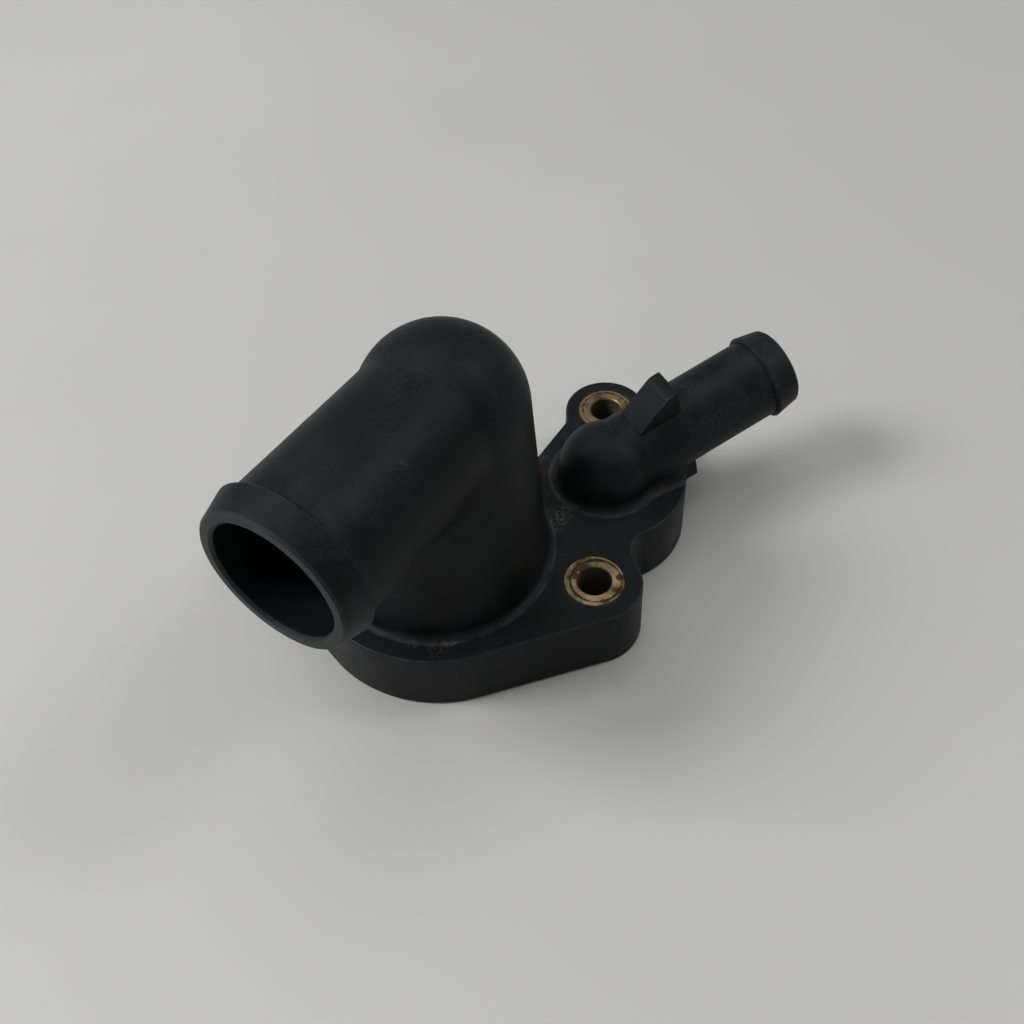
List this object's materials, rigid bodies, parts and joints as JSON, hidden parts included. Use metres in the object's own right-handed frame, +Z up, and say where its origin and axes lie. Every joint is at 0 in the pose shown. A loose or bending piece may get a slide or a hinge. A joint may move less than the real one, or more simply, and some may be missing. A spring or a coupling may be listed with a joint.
{
  "type": "coolant housing",
  "caption": "Black moulded coolant housing: elbow tower with a wide hose spout, side boss with a thin rising hose stub, deep flange with brass-sleeved bolt ears.",
  "frame": {"origin": "foot centre of the tower on the flange's mounting face, at the mouth of the main port", "axes": "+Z up from the mounting face through the tower; the wide hose spout leaves along -X; the thin hose stub leaves towards +X and -Y"},
  "size_m": [0.1445, 0.1081, 0.0867],
  "materials": {
    "black_plastic": "moulded glass-filled nylon, satin black, lightly scuffed, with dry coolant and dust in the corners",
    "brass_sleeve": "turned brass with a worn bolt-head ring and brown dirt",
    "seal_rubber": "smooth black rubber"
  },
  "bodies": {
    "root": {"housing": "black_plastic", "sleeve_near": "brass_sleeve", "sleeve_opposite": "brass_sleeve", "sleeve_far": "brass_sleeve", "main_seal_ring": "seal_rubber", "side_seal_ring": "seal_rubber"}
  },
  "joints": []
}
